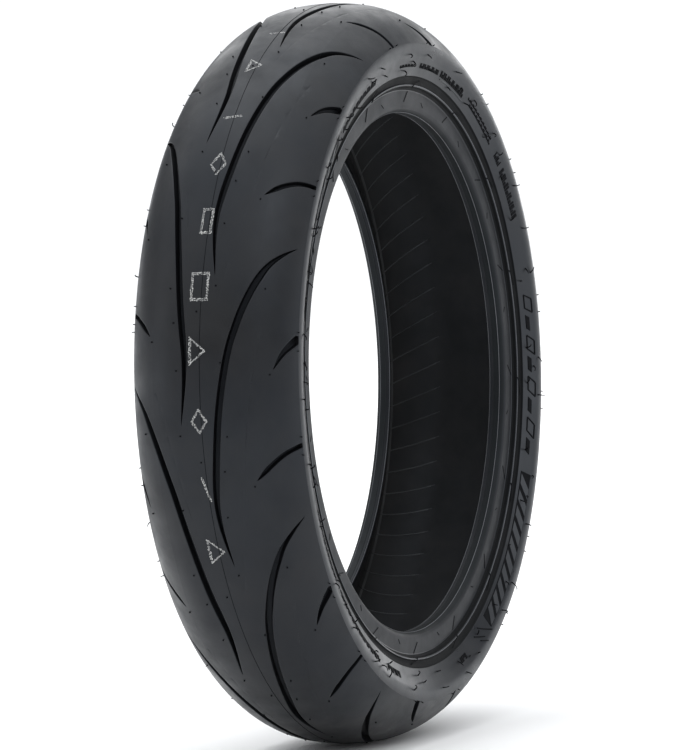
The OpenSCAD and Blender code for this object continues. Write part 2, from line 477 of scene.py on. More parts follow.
def tread_band(part, side, low, high):
    """A band of the tread, repeated round the tyre and joined into one closed mesh."""
    points, faces = closed_band(*TILE, low, high)
    every = np.vstack([points + [0, k * PITCH * DEG_MM, 0] for k in range(PITCHES)])
    places = tread_points(every[:, 0], every[:, 1] / DEG_MM + PHASE, every[:, 2])
    loops = [face for k in range(PITCHES) for face in after([points] * k, faces)]
    band = new_object(part + "_rubber" + side, places, loops, weld=WELD * MM)
    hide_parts(part + side)
    return band


TILE = clipped(*tread_tile(), (-EDGE_S, -BAND_S, BAND_S, EDGE_S))
TREAD = [tread_band("tread_center", "", -BAND_S, BAND_S),
         tread_band("tread_shoulder", "_right", BAND_S, EDGE_S),
         tread_band("tread_shoulder", "_left", -EDGE_S, -BAND_S)]

# ---- rings turned about the axle
RING_STEPS = 360
RING_SHARP = 35
LINER_T = 0.7
PLY_END_R = 239.5
BEND_STEPS = 7
CUSHION_STEPS = 3
PLIES_H = 3 * LINER_T
BUNDLE_R = 225.2
BEAD_R = 5.3
WALL_DOWN = -at_angle(WALL_LEAN)
WALL_OUT = np.array([math.cos(rad(WALL_LEAN)), -math.sin(rad(WALL_LEAN))])
SHOULDER_RUN = FACE_R * rad(SHOULDER_END_A - SHOULDER_A)
STEP_T = SHOULDER_RUN + (SHOULDER_END[1] - STEP_R) / math.cos(rad(WALL_LEAN))


def bundle_middle():
    """Middle of the bead's wire bundle, which the carcass leans down to."""
    start = TURN_C + TURN_R * at_angle(LEAN_A)
    drop = start[1] - BUNDLE_R + BEAD_R * math.cos(rad(LEAN_A))
    x = start[0] - drop * math.tan(rad(LEAN_A - 90)) + BEAD_R * math.sin(rad(LEAN_A))
    return np.array([x, BUNDLE_R])


BUNDLE = bundle_middle()
INNER_X = BUNDLE[0] + BEAD_R - LINER_T


def carcass(a, h):
    """The carcass's bend below the crown, at height h above the liner's inner face."""
    return TURN_C + (TURN_R + h) * at_angle(a)


def round_bead(a, h):
    """The carcass's way round the wire bundle, at height h above the liner's inner face."""
    return BUNDLE - (BEAD_R - h) * at_angle(a)


def side_point(t, h=0):
    """A point of the outer sidewall, t below the tread's edge along the surface and h above it."""
    if t < SHOULDER_RUN:
        return SHOULDER_C + (FACE_R + h) * at_angle(SHOULDER_A + math.degrees(t / FACE_R))
    return SHOULDER_END + WALL_DOWN * (t - SHOULDER_RUN) + WALL_OUT * h


def turned(side, x, r, phi):
    """Places in millimetres, from distances from the middle plane, radii and angles in degrees."""
    turn = np.radians(phi)
    return np.stack([r * np.cos(turn), side * x + 0 * turn, r * np.sin(turn)], axis=-1)


def ring(part, side, label, corners):
    """A rounded outline turned about the axle, in place of the CAD's plain part."""
    outline = np.asarray(rounded(corners), float)
    phi = np.arange(RING_STEPS) * 360 / RING_STEPS
    points = turned(side, outline[None, :, 0], outline[None, :, 1], phi[:, None])
    faces = hoop_faces(RING_STEPS, len(outline))
    piece = new_object(part + "_rubber_" + label, points.reshape(-1, 3) * MM, faces,
                       RING_SHARP)
    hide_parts(part + "_" + label)
    return piece


def rounded(corners, steps=4):
    """An outline of (point, radius), with each corner rounded by its own radius."""
    out = []
    for i, (corner, radius) in enumerate(corners):
        corner = np.asarray(corner, float)
        if radius == 0:
            out.append(corner)
            continue
        back = np.asarray(corners[i - 1][0]) - corner
        on = np.asarray(corners[(i + 1) % len(corners)][0]) - corner
        back_l, on_l = np.linalg.norm(back), np.linalg.norm(on)
        half = math.acos(np.clip(back @ on / (back_l * on_l), -1, 1)) / 2
        reach = min(radius / math.tan(half), 0.45 * back_l, 0.45 * on_l)
        a, b = corner + back / back_l * reach, corner + on / on_l * reach
        for k in range(steps + 1):
            t = k / steps
            out.append((1 - t) ** 2 * a + 2 * t * (1 - t) * corner + t * t * b)
    return out


def on_wall(r, h):
    """A point at radius r whose distance from the middle plane is h more than the smooth wall's."""
    return (wall_x(r) + h, r)


# The outer face below the smooth sidewall: a step, a hollow band, the rim line and a groove under it
LOWER_FACE = [
    (on_wall(STEP_R, 0), 0.5), (on_wall(STEP_R - 0.9, -1.3), 0.8), (on_wall(RIM_LINE_R + 4.2, -1.25), 3),
    (on_wall(RIM_LINE_R + 1.6, -0.75), 0.6), (on_wall(RIM_LINE_R + 0.9, 0.75), 0.35),
    (on_wall(RIM_LINE_R - 0.3, 0.75), 0.35), (on_wall(RIM_LINE_R - 1.2, -1.5), 0.6),
    (on_wall(RIM_LINE_R - 2.6, -1.75), 0.6), ((FACE_X + 0.35, RIM_LINE_R - 3.3), 0.5),
    ((FACE_X, CHAFER_TOP), 0)]

# The bead: the flange face, a round heel, the seat with a fine ring, and the toe's lip
HEEL_R = 6.5
HEEL_C = np.array([FACE_X - HEEL_R, SEAT_R + HEEL_R])
SEAT_RING = 0.3
HEEL = [(HEEL_C + HEEL_R * at_angle(90 + 90 * i / 8), 0) for i in range(9)]
TOE_LIP = [((TOE_X + 4.4, SEAT_R), 0.2), ((TOE_X + 4.0, SEAT_R - SEAT_RING), 0.1),
           ((TOE_X + 3.6, SEAT_R), 0.2), ((TOE_X + 1.2, SEAT_R), 0.6), ((TOE_X, SEAT_R + 0.9), 0.5)]
BEAD_FACE = [((FACE_X, CHAFER_TOP), 0)] + HEEL + TOE_LIP


def sidewall(side, label):
    """A whole sidewall."""
    shoulder = [(side_point(SHOULDER_RUN * i / 12), 0) for i in range(13)]
    turns = [carcass(TURN_A + (LEAN_A - TURN_A) * i / BEND_STEPS, PLIES_H)
             for i in range(BEND_STEPS, CUSHION_STEPS - 1, -1)]
    hidden = [(INNER_X, CHAFER_TOP), (INNER_X, PLY_END_R), (INNER_X - LINER_T, PLY_END_R)] + turns
    hidden += [crown(EDGE_A, CAP_T + BASE_T), crown(EDGE_A, CAP_T)]
    return ring("sidewall", side, label, shoulder + LOWER_FACE + [(p, 0) for p in hidden])


def chafer(side, label):
    """The hard rubber of a bead."""
    under = [round_bead(LEAN_A + (-90 - LEAN_A) * i / 15, LINER_T) for i in range(16)]
    hidden = [round_bead(LEAN_A, 0)] + under + [(INNER_X, CHAFER_TOP)]
    return ring("chafer", side, label, BEAD_FACE + [(p, 0) for p in hidden])


SIDEWALLS = [sidewall(*side) for side in SIDES]
CHAFERS = [chafer(*side) for side in SIDES]

# ---- inner liner and its ribs
RIBS = 84
RIB_SLANT = 0.085
RIB_H = 0.4
RIB_SHAPE = [(-0.13, 0), (-0.05, 1), (0.05, 1), (0.13, 0)]
RIB_START = 26
RIB_END_R = 252
RIB_FADE = 12
LINER_STEP = 3


def liner_line(h):
    """The liner's line from bead to bead, at height h above its inner face."""
    line = [crown(a, CROWN_T - h) for a in np.linspace(0, TURN_A, 30)]
    line += [carcass(a, h) for a in np.linspace(TURN_A, LEAN_A, 12)[1:]]
    line.append(round_bead(LEAN_A, h))
    half = resample(line, LINER_STEP)
    return np.vstack([half[:0:-1] * [-1, 1], half])


def inner_liner():
    """The liner as one closed skin, with thin slanted ribs on its inner face."""
    lines = [liner_line(h) for h in (0, LINER_T)]
    count = min(len(line) for line in lines)
    at = np.linspace(0, 1, count)
    inner, outer = [np.stack([np.interp(at, np.linspace(0, 1, len(line)), line[:, k]) for k in (0, 1)],
                             axis=1) for line in lines]
    along = unit(np.gradient(inner, axis=0))
    inward = np.stack([along[:, 1], -along[:, 0]], axis=1)
    run = lengths(inner)
    run -= run[-1] / 2
    rise = (RIB_H * ((inner[:, 1] - RIB_END_R) / RIB_FADE).clip(0, 1)
            * ((np.abs(run) - RIB_START) / RIB_FADE).clip(0, 1))
    slant = -RIB_SLANT * run
    pitch = 360 / RIBS
    columns = []
    for k in range(RIBS):
        columns += [(k * pitch + offset, share) for offset, share in RIB_SHAPE]
        columns += [(k * pitch + pitch * part / 3, 0) for part in (1, 2)]
    skin = []
    for offset, share in columns:
        section = np.vstack([inner + inward * (rise * share)[:, None], outer[::-1]])
        turn = offset + np.concatenate([slant, slant[::-1]])
        skin.append(turned(1, section[:, 0], section[:, 1], turn))
    faces = hoop_faces(len(columns), 2 * count)
    piece = new_object("inner_liner_skin", np.vstack(skin) * MM, faces, 20)
    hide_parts("inner_liner")
    return piece


LINER = inner_liner()

# ---- raised marks and vent lines
MARK_SUNK = 0.4
MARK_BEVEL = 0.16
MARK_R = 259


def on_side(side):
    """Places on the outer sidewall, from (angle in degrees, distance below the tread's edge, height)."""
    def place(phi, t, h):
        spots = np.array([side_point(a, b) for a, b in zip(t, h)])
        return turned(side, spots[:, 0], spots[:, 1], phi)
    return place


def on_bead_face(side):
    """The same on the flange face, where the second number is a radius."""
    def place(phi, r, h):
        return turned(side, FACE_X + h, r, phi)
    return place


def on_tread(phi, s, h):
    return tread_points(s, phi, -h) / MM


class Marks:
    """Many small closed solids that become one piece."""

    def __init__(self):
        self.points = []
        self.faces = []

    def add(self, points, faces):
        self.faces += after(self.points, faces)
        self.points.append(np.asarray(points))

    def slab(self, place, corners, height, radius=MARK_R, step=2.4, sunk=MARK_SUNK, bevel=MARK_BEVEL):
        """A four-cornered slab on a surface, from corners of (angle in degrees, distance)."""
        mm = np.array([rad(1) * radius, 1])
        quad = np.asarray(corners, float) * mm
        size = [np.linalg.norm(quad[1] - quad[0]), np.linalg.norm(quad[3] - quad[0])]
        n, m = (max(1, int(math.ceil(v / step))) for v in size)

        def grid(inset):
            u = np.linspace(inset / size[0], 1 - inset / size[0], n + 1)[:, None, None]
            v = np.linspace(inset / size[1], 1 - inset / size[1], m + 1)[None, :, None]
            flat = (quad[0] * (1 - u) * (1 - v) + quad[1] * u * (1 - v)
                    + quad[2] * u * v + quad[3] * (1 - u) * v)
            return (flat / mm).reshape(-1, 2)

        def index(i, j):
            return i * (m + 1) + j

        rim = ([index(i, 0) for i in range(n)] + [index(n, j) for j in range(m)]
               + [index(i, m) for i in range(n, 0, -1)] + [index(0, j) for j in range(m, 0, -1)])
        top, base = grid(min(bevel, 0.3 * min(size))), grid(0)
        count = len(base)
        layers = [(top, height), (base[rim], height - bevel), (base, -sunk)]
        points = np.vstack([place(p[:, 0], p[:, 1], np.full(len(p), h)) for p, h in layers])
        low = count + len(rim)
        faces = []
        for i in range(n):
            for j in range(m):
                cell = (index(i, j), index(i + 1, j), index(i + 1, j + 1), index(i, j + 1))
                faces += [cell, tuple(low + v for v in cell[::-1])]
        for k in range(len(rim)):
            o = (k + 1) % len(rim)
            faces.append((rim[k], count + k, count + o, rim[o]))
            faces.append((count + k, low + rim[k], low + rim[o], count + o))
        self.add(points, faces)

    def stroke(self, place, start, end, width, height, radius=MARK_R, **more):
        """A straight slab of some width between two places."""
        mm = np.array([rad(1) * radius, 1])
        a, b = np.asarray(start) * mm, np.asarray(end) * mm
        along = (b - a) / np.linalg.norm(b - a)
        off = np.array([-along[1], along[0]]) * width / 2
        corners = [(a - off) / mm, (b - off) / mm, (b + off) / mm, (a + off) / mm]
        self.slab(place, corners, height, radius, **more)

    def hair(self, path, thick, thin, sides=6):
        """A tapered hair along a path of points in millimetres."""
        path = np.asarray(path)
        along = unit(np.gradient(path, axis=0))
        side_on = unit(np.cross(along, [0.31, 0.87, 0.38]))
        third = np.cross(along, side_on)
        turn = np.arange(sides) * 2 * math.pi / sides
        loops = []
        for i, p in enumerate(path):
            radius = (thick + (thin - thick) * i / (len(path) - 1)) / 2
            loops.append(p + radius * (np.cos(turn)[:, None] * side_on[i]
                                       + np.sin(turn)[:, None] * third[i]))
        self.add(np.vstack(loops), tube_faces(len(path), sides))

    def loop(self, place, steps, across, heights):
        """A thin ring round the tyre, from the corners of its cross-section."""
        count = len(across)
        phi = np.repeat(np.arange(steps) * 360 / steps, count)
        self.add(place(phi, np.tile(across, steps), np.tile(heights, steps)), hoop_faces(steps, count))

    def piece(self, name, slot, sharp=30):
        """All the solids as one object."""
        return new_object(name, np.vstack(self.points) * MM, self.faces, sharp)


def leaning(phi, wide, lean, low, high):
    """Corners of an upright or leaning bar."""
    return [(phi, low), (phi - wide, low), (phi - wide - lean, high), (phi - lean, high)]


BAR_H = 0.45
BAR_GAP = 0.9
SHORT_BAR = 0.55


def bar_row(marks, place, from_phi, to_phi, t, tall, widths):
    """A row of small upright bars of mixed widths, some of them short."""
    degree = rad(1) * MARK_R
    phi, k = from_phi, 0
    while phi - widths[k % len(widths)] / degree > to_phi:
        wide = widths[k % len(widths)] / degree
        low = t + tall / 2
        high = low - tall * (SHORT_BAR if k % 3 == 1 else 1)
        marks.slab(place, leaning(phi, wide, 0, low, high), BAR_H, bevel=0.1)
        phi -= wide + BAR_GAP / degree
        k += 1


PANES = 8
PANE_PITCH = 4.0
PANE_WIDE = 0.66 * PANE_PITCH
PANE_LEAN = 0.3 * PANE_PITCH
PANE_T = 17.2
PANE_TALL = 9.5
PANE_STROKE = 1.3
MARK_H = 0.5


def panes(marks, place, from_phi):
    """A row of slanted panes: open frames that alternate with solid ones of half the height."""
    low, high = PANE_T + PANE_TALL / 2, PANE_T - PANE_TALL / 2
    for k in range(PANES):
        phi = from_phi - k * PANE_PITCH
        if k % 2:
            marks.slab(place, leaning(phi, PANE_WIDE, PANE_LEAN / 2, low, (low + high) / 2), MARK_H)
            continue
        corners = leaning(phi, PANE_WIDE, PANE_LEAN, low, high)
        for i in (0, 2):
            marks.stroke(place, corners[i], corners[i + 1], PANE_STROKE, MARK_H)
        for i in (1, 3):
            marks.stroke(place, corners[i], corners[(i + 1) % 4], PANE_STROKE * 0.9, MARK_H)


HATCH_HIGH = 12.2
HATCH_LOW = 25.2
HATCH_EDGE = 0.8
HATCH_PITCH = 3.4
HATCH_WIDE = HATCH_PITCH * 0.62
HATCH_LEAN = HATCH_PITCH * 0.75
PANEL_H = 0.22
HATCH_H = 0.6


def hatch_band(bars, panels, place, from_phi, to_phi):
    """A long panel in painted shade with slanted bars in painted highlight on it."""
    panels.slab(place, leaning(from_phi, from_phi - to_phi, 0, HATCH_HIGH, HATCH_LOW), PANEL_H)
    low, high = HATCH_LOW - HATCH_EDGE, HATCH_HIGH + HATCH_EDGE
    phi = from_phi - 0.5
    while phi - HATCH_PITCH > to_phi:
        bars.slab(place, leaning(phi, HATCH_WIDE, HATCH_LEAN, low, high), HATCH_H)
        phi -= HATCH_PITCH


# Rows of bars as (from angle, to angle, distance below the tread's edge, length and widths of the bars)
SMALL_BARS = (1.0, 1.7, 0.9, 1.2, 2.2, 0.9)
WIDE_BARS = (2.8, 1.6, 3.4, 1.2, 2.4)
BAR_ROWS = [(93.4, 86.2, 19.4, 2.6, SMALL_BARS), (83.4, 73.8, 19.0, 4.4, WIDE_BARS),
            (73.0, 60.6, 18.4, 5.6, WIDE_BARS), (58.8, 45.0, 15.8, 2.0, SMALL_BARS),
            (57.4, 44.5, 19.0, 2.4, SMALL_BARS), (41.6, 38.6, 17.2, 5.2, SMALL_BARS),
            (37.4, 26.0, 17.0, 6.4, WIDE_BARS), (125.0, 106.0, 19.5, 5.6, WIDE_BARS),
            (241.5, 219.0, 17.2, 6.0, WIDE_BARS), (252.4, 246.2, 18.2, 5.6, WIDE_BARS),
            (216.0, 201.0, 17.0, 4.6, SMALL_BARS), (286.6, 283.2, 18.4, 5.2, (2.6,))]
# A line in painted highlight as (from angle, to angle, distance below the tread's edge)
UNDERLINE = (72.6, 61.0, 22.6)
UNDERLINE_WIDE = 1.1
PANE_ROWS = [10.5, 166.0]
HATCH_BANDS = [(-24.5, -60.5), (155.5, 128.0)]
# Short strokes as (angle, distance, angle, distance)
EDGE_MARKS = [(296.0, 13.5, 292.6, 22.6), (299.4, 10.2, 295.2, 24.8), (296.4, 8.0, 294.0, 15.0)]


def sidewall_marks(side, label):
    """The raised marks of one sidewall, as a piece in painted shade and a pale one in painted highlight."""
    place = on_side(side)
    dark, pale = Marks(), Marks()
    for from_phi, to_phi, t, tall, widths in BAR_ROWS:
        bar_row(dark, place, from_phi, to_phi, t, tall, widths)
    for phi in PANE_ROWS:
        panes(dark, place, phi)
    for from_phi, to_phi in HATCH_BANDS:
        hatch_band(pale, dark, place, from_phi, to_phi)
    for a, t_a, b, t_b in EDGE_MARKS:
        dark.stroke(place, (a, t_a), (b, t_b), 1.0, MARK_H)
    a, b, t = UNDERLINE
    pale.slab(place, leaning(a, a - b, 0, t, t + UNDERLINE_WIDE), MARK_H)
    return (dark.piece("sidewall_marks_dark_" + label, "sidewall_rubber"),
            pale.piece("sidewall_marks_pale_" + label, "sidewall_rubber"))


MARKS = [sidewall_marks(*side) for side in SIDES]

# ---- vent hairs, pips and fine lines
VENTS = 16
VENT_PHASE = 84.3
# Hairs at a vent, as (distance below the tread's edge, degrees past the vent)
VENT_HAIRS = [(9.5, -4.5), (9, 5.5), (22, 8.0), (21.5, -3.0), (14.5, 0.8)]
# Lines on the flange face, as (degrees past the vent, radius) twice, and the line's width and height
VENT_LINES = [((2.6, SEAT_R + 9), (0.4, CHAFER_TOP - 0.3), 0.95, 0.3),
              ((-8.2, SEAT_R + 8), (-7.2, SEAT_R + 11.5), 0.8, 0.25)]
# A hair over the rim line: how far it stands off the smooth wall, by share of its length
RIM_HAIR = ([0, 0.2, 0.5, 1], [0.9, 1.3, 0.2, -0.6])
RIM_HAIR_REACH = 5.8
RIM_HAIR_TURN = 3.6
BEAD_MID_R = 230
# Least and most: how far hairs stand out, the share of an arch that they bend through, their length
HAIR_RISE = (2.6, 5.2)
HAIR_ARCH = (0.45, 0.8)
HAIR_LONG = (2.5, 6.5)
HAIR_CURL = 0.3
HAIR_STEPS = np.linspace(0, 1, 7)
rng = np.random.default_rng(17)


def wall_hair(marks, place, phi, t, length, heading):
    """A hair of rubber that stands out from a vent and bends over."""
    along = length * HAIR_STEPS
    height = rng.uniform(*HAIR_RISE) * np.sin(HAIR_STEPS * math.pi * rng.uniform(*HAIR_ARCH)) - 0.5
    bend = HAIR_CURL * length * HAIR_STEPS ** 2
    across_t, along_phi = at_angle(heading)
    t_line = t + along * across_t + bend * along_phi
    phi_line = phi + (along * along_phi - bend * across_t) / (rad(1) * MARK_R)
    marks.hair(place(phi_line, t_line.clip(0.3, STEP_T - 0.6), height), 1.2, 0.7)


def vent_hairs(side, label):
    """The hairs and lines that the mould's vents leave on one side."""
    marks = Marks()
    place = on_side(side)
    for k in range(VENTS):
        phi = VENT_PHASE - k * 360 / VENTS
        for t, shift in VENT_HAIRS:
            wall_hair(marks, place, phi + shift + rng.uniform(-2.5, 2.5), t + rng.uniform(-2, 2),
                      rng.uniform(*HAIR_LONG), rng.uniform(0, 360))
        r = RIM_LINE_R - 0.4 + RIM_HAIR_REACH * HAIR_STEPS
        x = wall_x(r) + np.interp(HAIR_STEPS, *RIM_HAIR)
        marks.hair(turned(side, x, r, phi - RIM_HAIR_TURN * HAIR_STEPS ** 1.5), 1.0, 0.55)
        for start, end, width, height in VENT_LINES:
            marks.stroke(on_bead_face(side), (phi + start[0], start[1]), (phi + end[0], end[1]), width,
                         height, BEAD_MID_R, sunk=0.2, bevel=0.08)
    return marks.piece("vent_hairs_" + label, "sidewall_rubber")


HAIRS = [vent_hairs(*side) for side in SIDES]

LINE_D = 0.5


def edge_highlight_rings(side, label):
    """Fine rings of flash where the mould's parts met: along the rim line, the heel and the toe. Their pale
    rubber is a painted highlight on these edges.
    """
    marks = Marks()
    spots = [on_wall(RIM_LINE_R + 0.75, 0.72), HEEL_C + HEEL_R * at_angle(160),
             (TOE_X + 0.7, SEAT_R + 0.3)]
    corners = LINE_D / 2 * np.array([1, 0, -1, 0])
    for x, r in spots:
        marks.loop(on_bead_face(side), RING_STEPS, r + np.roll(corners, 1), x - FACE_X + corners)
    return marks.piece("edge_highlight_rings_" + label, "chafer_rubber", 20)


EDGE_HIGHLIGHT_RINGS = [edge_highlight_rings(*side) for side in SIDES]

# Pips of one pitch as (s, phi from the pitch's start), for the right half; the left half repeats them
PIPS = [(13.8, -8.3), (53.2, 1.6), (18.5, 13.1), (21.7, -20.8), (16.9, -15.5), (12.5, 1.5),
        (40, -12.8), (59, -30)]
MIDDLE_PIPS = [(-3, 5.4), (-2.6, -17)]
PIP_D = 1.55
PIP_H = 0.9
# Two taller, thinner pips flank each slit at the tread's edge
EDGE_PIP_D = 1.0
EDGE_PIP_H = 1.8
EDGE_PIP_IN = 0.8
EDGE_PIP_SHIFT = 1.55


def pip(marks, s, phi, tall=PIP_H, wide=PIP_D):
    """One pip that stands on the tread."""
    heights = np.array([-0.5, 0.35 * tall, 0.8 * tall, tall])
    marks.hair(on_tread(np.full(4, phi), np.full(4, float(s)), heights), wide, wide * 0.7, sides=8)


def tread_pips():
    """All pips of the tread as one piece."""
    marks = Marks()
    for k in range(PITCHES):
        start = PHASE + k * PITCH
        for s, phi in PIPS:
            pip(marks, s, start + phi)
            pip(marks, 2 * PATTERN_MID - s, start + phi + FAR_SHIFT)
        for s, phi in MIDDLE_PIPS:
            pip(marks, s, start + phi)
        for groove in (MIDDLE_SLIT, SHORT_SLIT):
            phi = groove["line"][1][1]
            for step in (-EDGE_PIP_SHIFT, EDGE_PIP_SHIFT):
                pip(marks, EDGE_S - EDGE_PIP_IN, start + phi + step, EDGE_PIP_H, EDGE_PIP_D)
                pip(marks, -EDGE_S + EDGE_PIP_IN, start + phi + step + FAR_SHIFT, EDGE_PIP_H, EDGE_PIP_D)
    return marks.piece("tread_pips", "tread_rubber", 40)


PIP_PIECE = tread_pips()

# Corners of the parting line's cross-section
PARTING_S = [0.2, 0.38, 0.62, 0.8]
PARTING_H = [-0.2, 0.22, 0.22, -0.2]


def parting_line():
    """The thin fin where the halves of the mould met."""
    marks = Marks()
    marks.loop(on_tread, 2 * RING_STEPS, PARTING_S, PARTING_H)
    return marks.piece("tread_parting_line", "tread_rubber", 20)


PARTING = parting_line()

# ---- dotted factory marks in white ink
INK_S = -1.5
INK_DOT = 1.0
INK_STEP = 1.15
INK_SPREAD = 0.22
INK_SIZES = (0.6, 1.25)
INK_SUNK = 0.1
INK_H = 0.07
INK_ROW = 1.2
INK_SIDES = 8
BOX = [(-1, -1), (1, -1), (1, 1), (-1, 1), (-1, -1)]
DIAMOND = [(-1, 0), (0, -1), (1, 0), (0, 1), (-1, 0)]
TRIANGLE = [(-1, -1), (1, 0), (-1, 1), (-1, -1)]
DASH = [(-1, 0.3), (1, -0.3)]
SLASH = [(-0.6, -1), (0.6, 1)]
# Each mark as (angle, shape, half width along s, half length round the tyre)
INK_MARKS = [(110.5, DASH, 6, 3), (121.0, TRIANGLE, 6, 9), (133.0, DASH, 7, 4),
             (142.2, DIAMOND, 7, 11), (152.0, BOX, 4.6, 11), (162.3, BOX, 7.5, 11.5),
             (172.0, TRIANGLE, 7, 11), (182.5, DIAMOND, 7, 10), (192.8, SLASH, 4, 9),
             (203.0, TRIANGLE, 7, 11)]


def ink_rows(outline, size):
    """Two rows for the dots of a mark: an outline and one inside it, or a stroke and one beside it."""
    flat = np.asarray(outline, float) * size
    closed = outline[0] == outline[-1]
    return flat, flat * (1 - INK_ROW / np.array(size)) if closed else flat + INK_ROW


def ink_marks():
    """Marks of small ink dots on the tread, left out where they would lie over a groove."""
    marks = Marks()
    outlines = [groove_rings(groove, line)[1][:, :2] for groove, line in tile_lines()]
    turn = np.arange(INK_SIDES) * 2 * math.pi / INK_SIDES
    round_dot = np.stack([np.cos(turn), np.sin(turn)], axis=1) * INK_DOT / 2
    pitches = np.array([[0, n * PITCH * DEG_MM] for n in range(-3, 4)])
    faces = tube_faces(2, INK_SIDES)
    for phi, outline, *size in INK_MARKS:
        for row in ink_rows(outline, size):
            for s, arc in resample(row, INK_STEP):
                shift = rng.normal(0, INK_SPREAD, 2)
                dot = round_dot * rng.uniform(*INK_SIZES)
                spot = np.array([INK_S + s, (phi - PHASE) * DEG_MM + arc]) + shift
                if any(polygon_holds(o, spot + pitches).any() for o in outlines):
                    continue
                ring_s, ring_arc = (spot + dot).T
                ring_phi = PHASE + ring_arc / DEG_MM
                points = [on_tread(ring_phi, ring_s, np.full(INK_SIDES, h)) for h in (-INK_SUNK, INK_H)]
                marks.add(np.vstack(points), faces)
    return marks.piece("factory_ink_marks", None, 30)


INK = ink_marks()

# ---- materials
NOISE_ROUGH = 0.6


def put(node, values):
    for name, value in values.items():
        node.inputs[name].default_value = value


def shader(name, color, rough, metal=0.0):
    """A material, with its nodes, links and surface shader, and the object's own coordinates."""
    made = bpy.data.materials.new(name)
    made.use_nodes = True
    nodes, links = made.node_tree.nodes, made.node_tree.links
    surface = nodes["Principled BSDF"]
    put(surface, {"Base Color": (*color, 1), "Roughness": rough, "Metallic": metal})
    place = nodes.new("ShaderNodeTexCoord")
    return made, nodes, links, surface, place.outputs["Object"]


def noise(nodes, links, place, scale, detail=4):
    """A cloudy pattern with so many features to the metre."""
    cloud = nodes.new("ShaderNodeTexNoise")
    put(cloud, {"Scale": scale, "Detail": detail, "Roughness": NOISE_ROUGH})
    links.new(place, cloud.inputs["Vector"])
    return cloud.outputs["Fac"]


def ramp(nodes, links, value, stops):
    """A colour ramp from (position, colour or grey) stops."""
    scale = nodes.new("ShaderNodeValToRGB")
    while len(scale.color_ramp.elements) < len(stops):
        scale.color_ramp.elements.new(0.5)
    for stop, (at, tone) in zip(scale.color_ramp.elements, stops):
        stop.position = at
        stop.color = (*tone, 1) if isinstance(tone, tuple) else (tone, tone, tone, 1)
    links.new(value, scale.inputs["Fac"])
    return scale.outputs["Color"]


def bump(nodes, links, surface, height, distance):
    """A fine relief on a surface, from a pattern and its depth in metres."""
    relief = nodes.new("ShaderNodeBump")
    put(relief, {"Distance": distance, "Strength": 1})
    links.new(height, relief.inputs["Height"])
    links.new(relief.outputs["Normal"], surface.inputs["Normal"])


# The faint blue of light that new rubber gives back
SHEEN = (0.80, 0.88, 1.0)


def rubber(name, dark, light, rough, grain, relief, shine, patch):
    """Moulded rubber: a cloudy bloom over a fine grain."""
    made, nodes, links, surface, place = shader(name, dark, sum(rough) / 2)
    put(surface, {"Specular IOR Level": shine, "Specular Tint": (*SHEEN, 1)})
    cloud = noise(nodes, links, place, patch, 6)
    links.new(ramp(nodes, links, cloud, [(0.35, dark), (0.68, light)]), surface.inputs["Base Color"])
    blotch = noise(nodes, links, place, patch * 3.1, 5)
    links.new(ramp(nodes, links, blotch, [(0.3, rough[0]), (0.7, rough[1])]), surface.inputs["Roughness"])
    bump(nodes, links, surface, noise(nodes, links, place, grain, 3), relief)
    return made


# Each rubber's dark and light tone, range of roughness, grain, relief in metres, shine and cloud scale
RUBBER_LOOKS = {
    "tread_rubber": ((0.004, 0.0045, 0.0058), (0.0115, 0.0106, 0.01), (0.29, 0.54), 900, 4e-5, 0.33, 9),
    # groove rubber: darker, as painted shade inside the grooves
    "groove_shade_rubber": ((0.002, 0.002, 0.0026), (0.0046, 0.0046, 0.0052), (0.46, 0.58), 900, 3e-5, 0.18, 14),
    "sidewall_rubber": (
        (0.0085, 0.0092, 0.0112), (0.014, 0.0142, 0.0152), (0.26, 0.4), 1100, 3e-5, 0.26, 14),
    # band rubber: near black, as painted shade in the hollow band and the groove under the rim line
    "band_shade_rubber": ((0.003, 0.003, 0.003), (0.006, 0.006, 0.006), (0.6, 0.7), 1300, 5e-5, 0.1, 14),
    # mark rubber: darker, as painted shade and dark reflection on the marks, hairs, pips and parting line
    "mark_rubber": ((0.002, 0.002, 0.0025), (0.004, 0.004, 0.0045), (0.6, 0.75), 1400, 6e-5, 0.08, 14),
    # mark face rubber: lighter, as a painted highlight on the pale bars and line
    "mark_face_rubber": ((0.016, 0.017, 0.019), (0.025, 0.0255, 0.027), (0.34, 0.46), 1100, 2e-5, 0.34, 14),
    "chafer_rubber": ((0.0075, 0.0081, 0.0096), (0.0125, 0.0127, 0.0137), (0.4, 0.52), 900, 3e-5, 0.18, 14),
    # seat rubber: darker, as painted shade on the bead seat
    "seat_shade_rubber": ((0.004, 0.0045, 0.0045), (0.007, 0.008, 0.008), (0.5, 0.62), 900, 5e-5, 0.22, 14),
    # edge line rubber: pale, as a painted highlight on the fine edge rings
    "edge_line_rubber": ((0.085, 0.088, 0.094), (0.13, 0.134, 0.142), (0.3, 0.4), 900, 2e-5, 0.6, 14),
    "liner_rubber": ((0.0165, 0.0166, 0.0168), (0.0265, 0.0258, 0.0258), (0.5, 0.62), 700, 5e-5, 0.22, 22),
    # liner rib rubber: lighter, as a painted highlight on the rib tops
    "liner_rib_highlight_rubber": ((0.042, 0.043, 0.044), (0.066, 0.067, 0.068), (0.4, 0.5), 700, 2e-5, 0.4, 14),
    "ink_white": ((0.25, 0.25, 0.25), (0.58, 0.58, 0.56), (0.6, 0.75), 1500, 3e-5, 0.3, 200),
    "skim_rubber": ((0.004, 0.0035, 0.003), (0.009, 0.008, 0.007), (0.6, 0.75), 900, 5e-5, 0.3, 14),
}
RUBBER = {name: rubber(name, *look) for name, look in RUBBER_LOOKS.items()}


